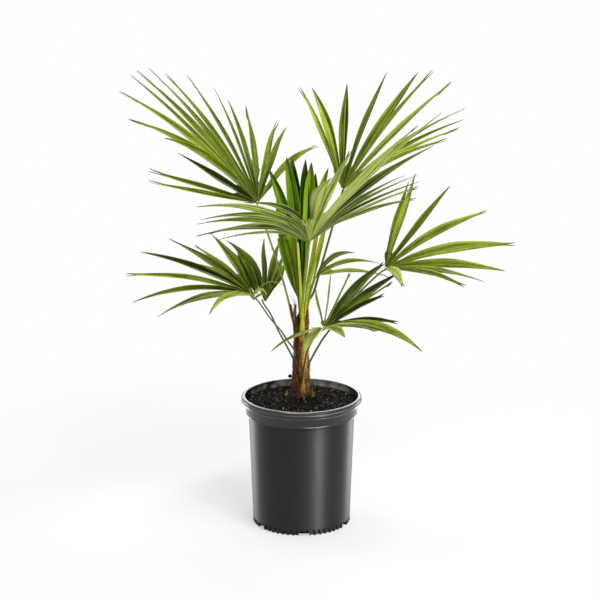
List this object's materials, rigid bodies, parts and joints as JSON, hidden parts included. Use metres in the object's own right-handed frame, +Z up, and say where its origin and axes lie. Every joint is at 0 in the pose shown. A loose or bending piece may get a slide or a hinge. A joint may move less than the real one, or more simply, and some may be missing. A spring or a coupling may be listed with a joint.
{
  "type": "potted windmill palm",
  "caption": "Young windmill palm with pleated fan leaves on a fibrous stem, standing in a deep round nursery pot filled with soil.",
  "frame": {"origin": "centre of the pot's base, on the surface that the pot stands on", "axes": "+Z up along the pot's axis, +X to the plant's right and +Y to its back, seen from the front"},
  "size_m": [0.749, 0.792, 0.8726],
  "materials": {
    "pot_plastic": "black moulded plastic, semi-gloss",
    "potting_mix": "moist dark bark compost with pale grains, rough",
    "stem_fibre": "reddish brown matted palm fibre, rough",
    "leaf_base_fibre": "dry brown leaf base, rough",
    "petiole_green": "olive green living leaf stalk, satin",
    "leaf_green": "tough green leaf, satin above and paler below",
    "shoot_green": "pale green young shoot, satin"
  },
  "bodies": {
    "root": {"pot": "pot_plastic", "soil": "potting_mix", "stem": "stem_fibre", "leaf_base_left": "leaf_base_fibre", "leaf_base_right": "leaf_base_fibre", "leaf_base_rear": "leaf_base_fibre", "leaf_base_foot": "leaf_base_fibre", "petiole_upper_left": "petiole_green", "petiole_upper_right": "petiole_green", "petiole_front": "petiole_green", "petiole_lower_left": "petiole_green", "petiole_rear_left": "petiole_green", "petiole_right": "petiole_green", "petiole_lower_right": "petiole_green", "petiole_rear_right": "petiole_green", "blade_upper_left": "leaf_green", "blade_upper_right": "leaf_green", "blade_front": "leaf_green", "blade_lower_left": "leaf_green", "blade_rear_left": "leaf_green", "blade_right": "leaf_green", "blade_lower_right": "leaf_green", "blade_rear_right": "leaf_green", "blade_young": "leaf_green", "shoot_green": "shoot_green", "shoot_pale": "shoot_green"}
  },
  "joints": []
}
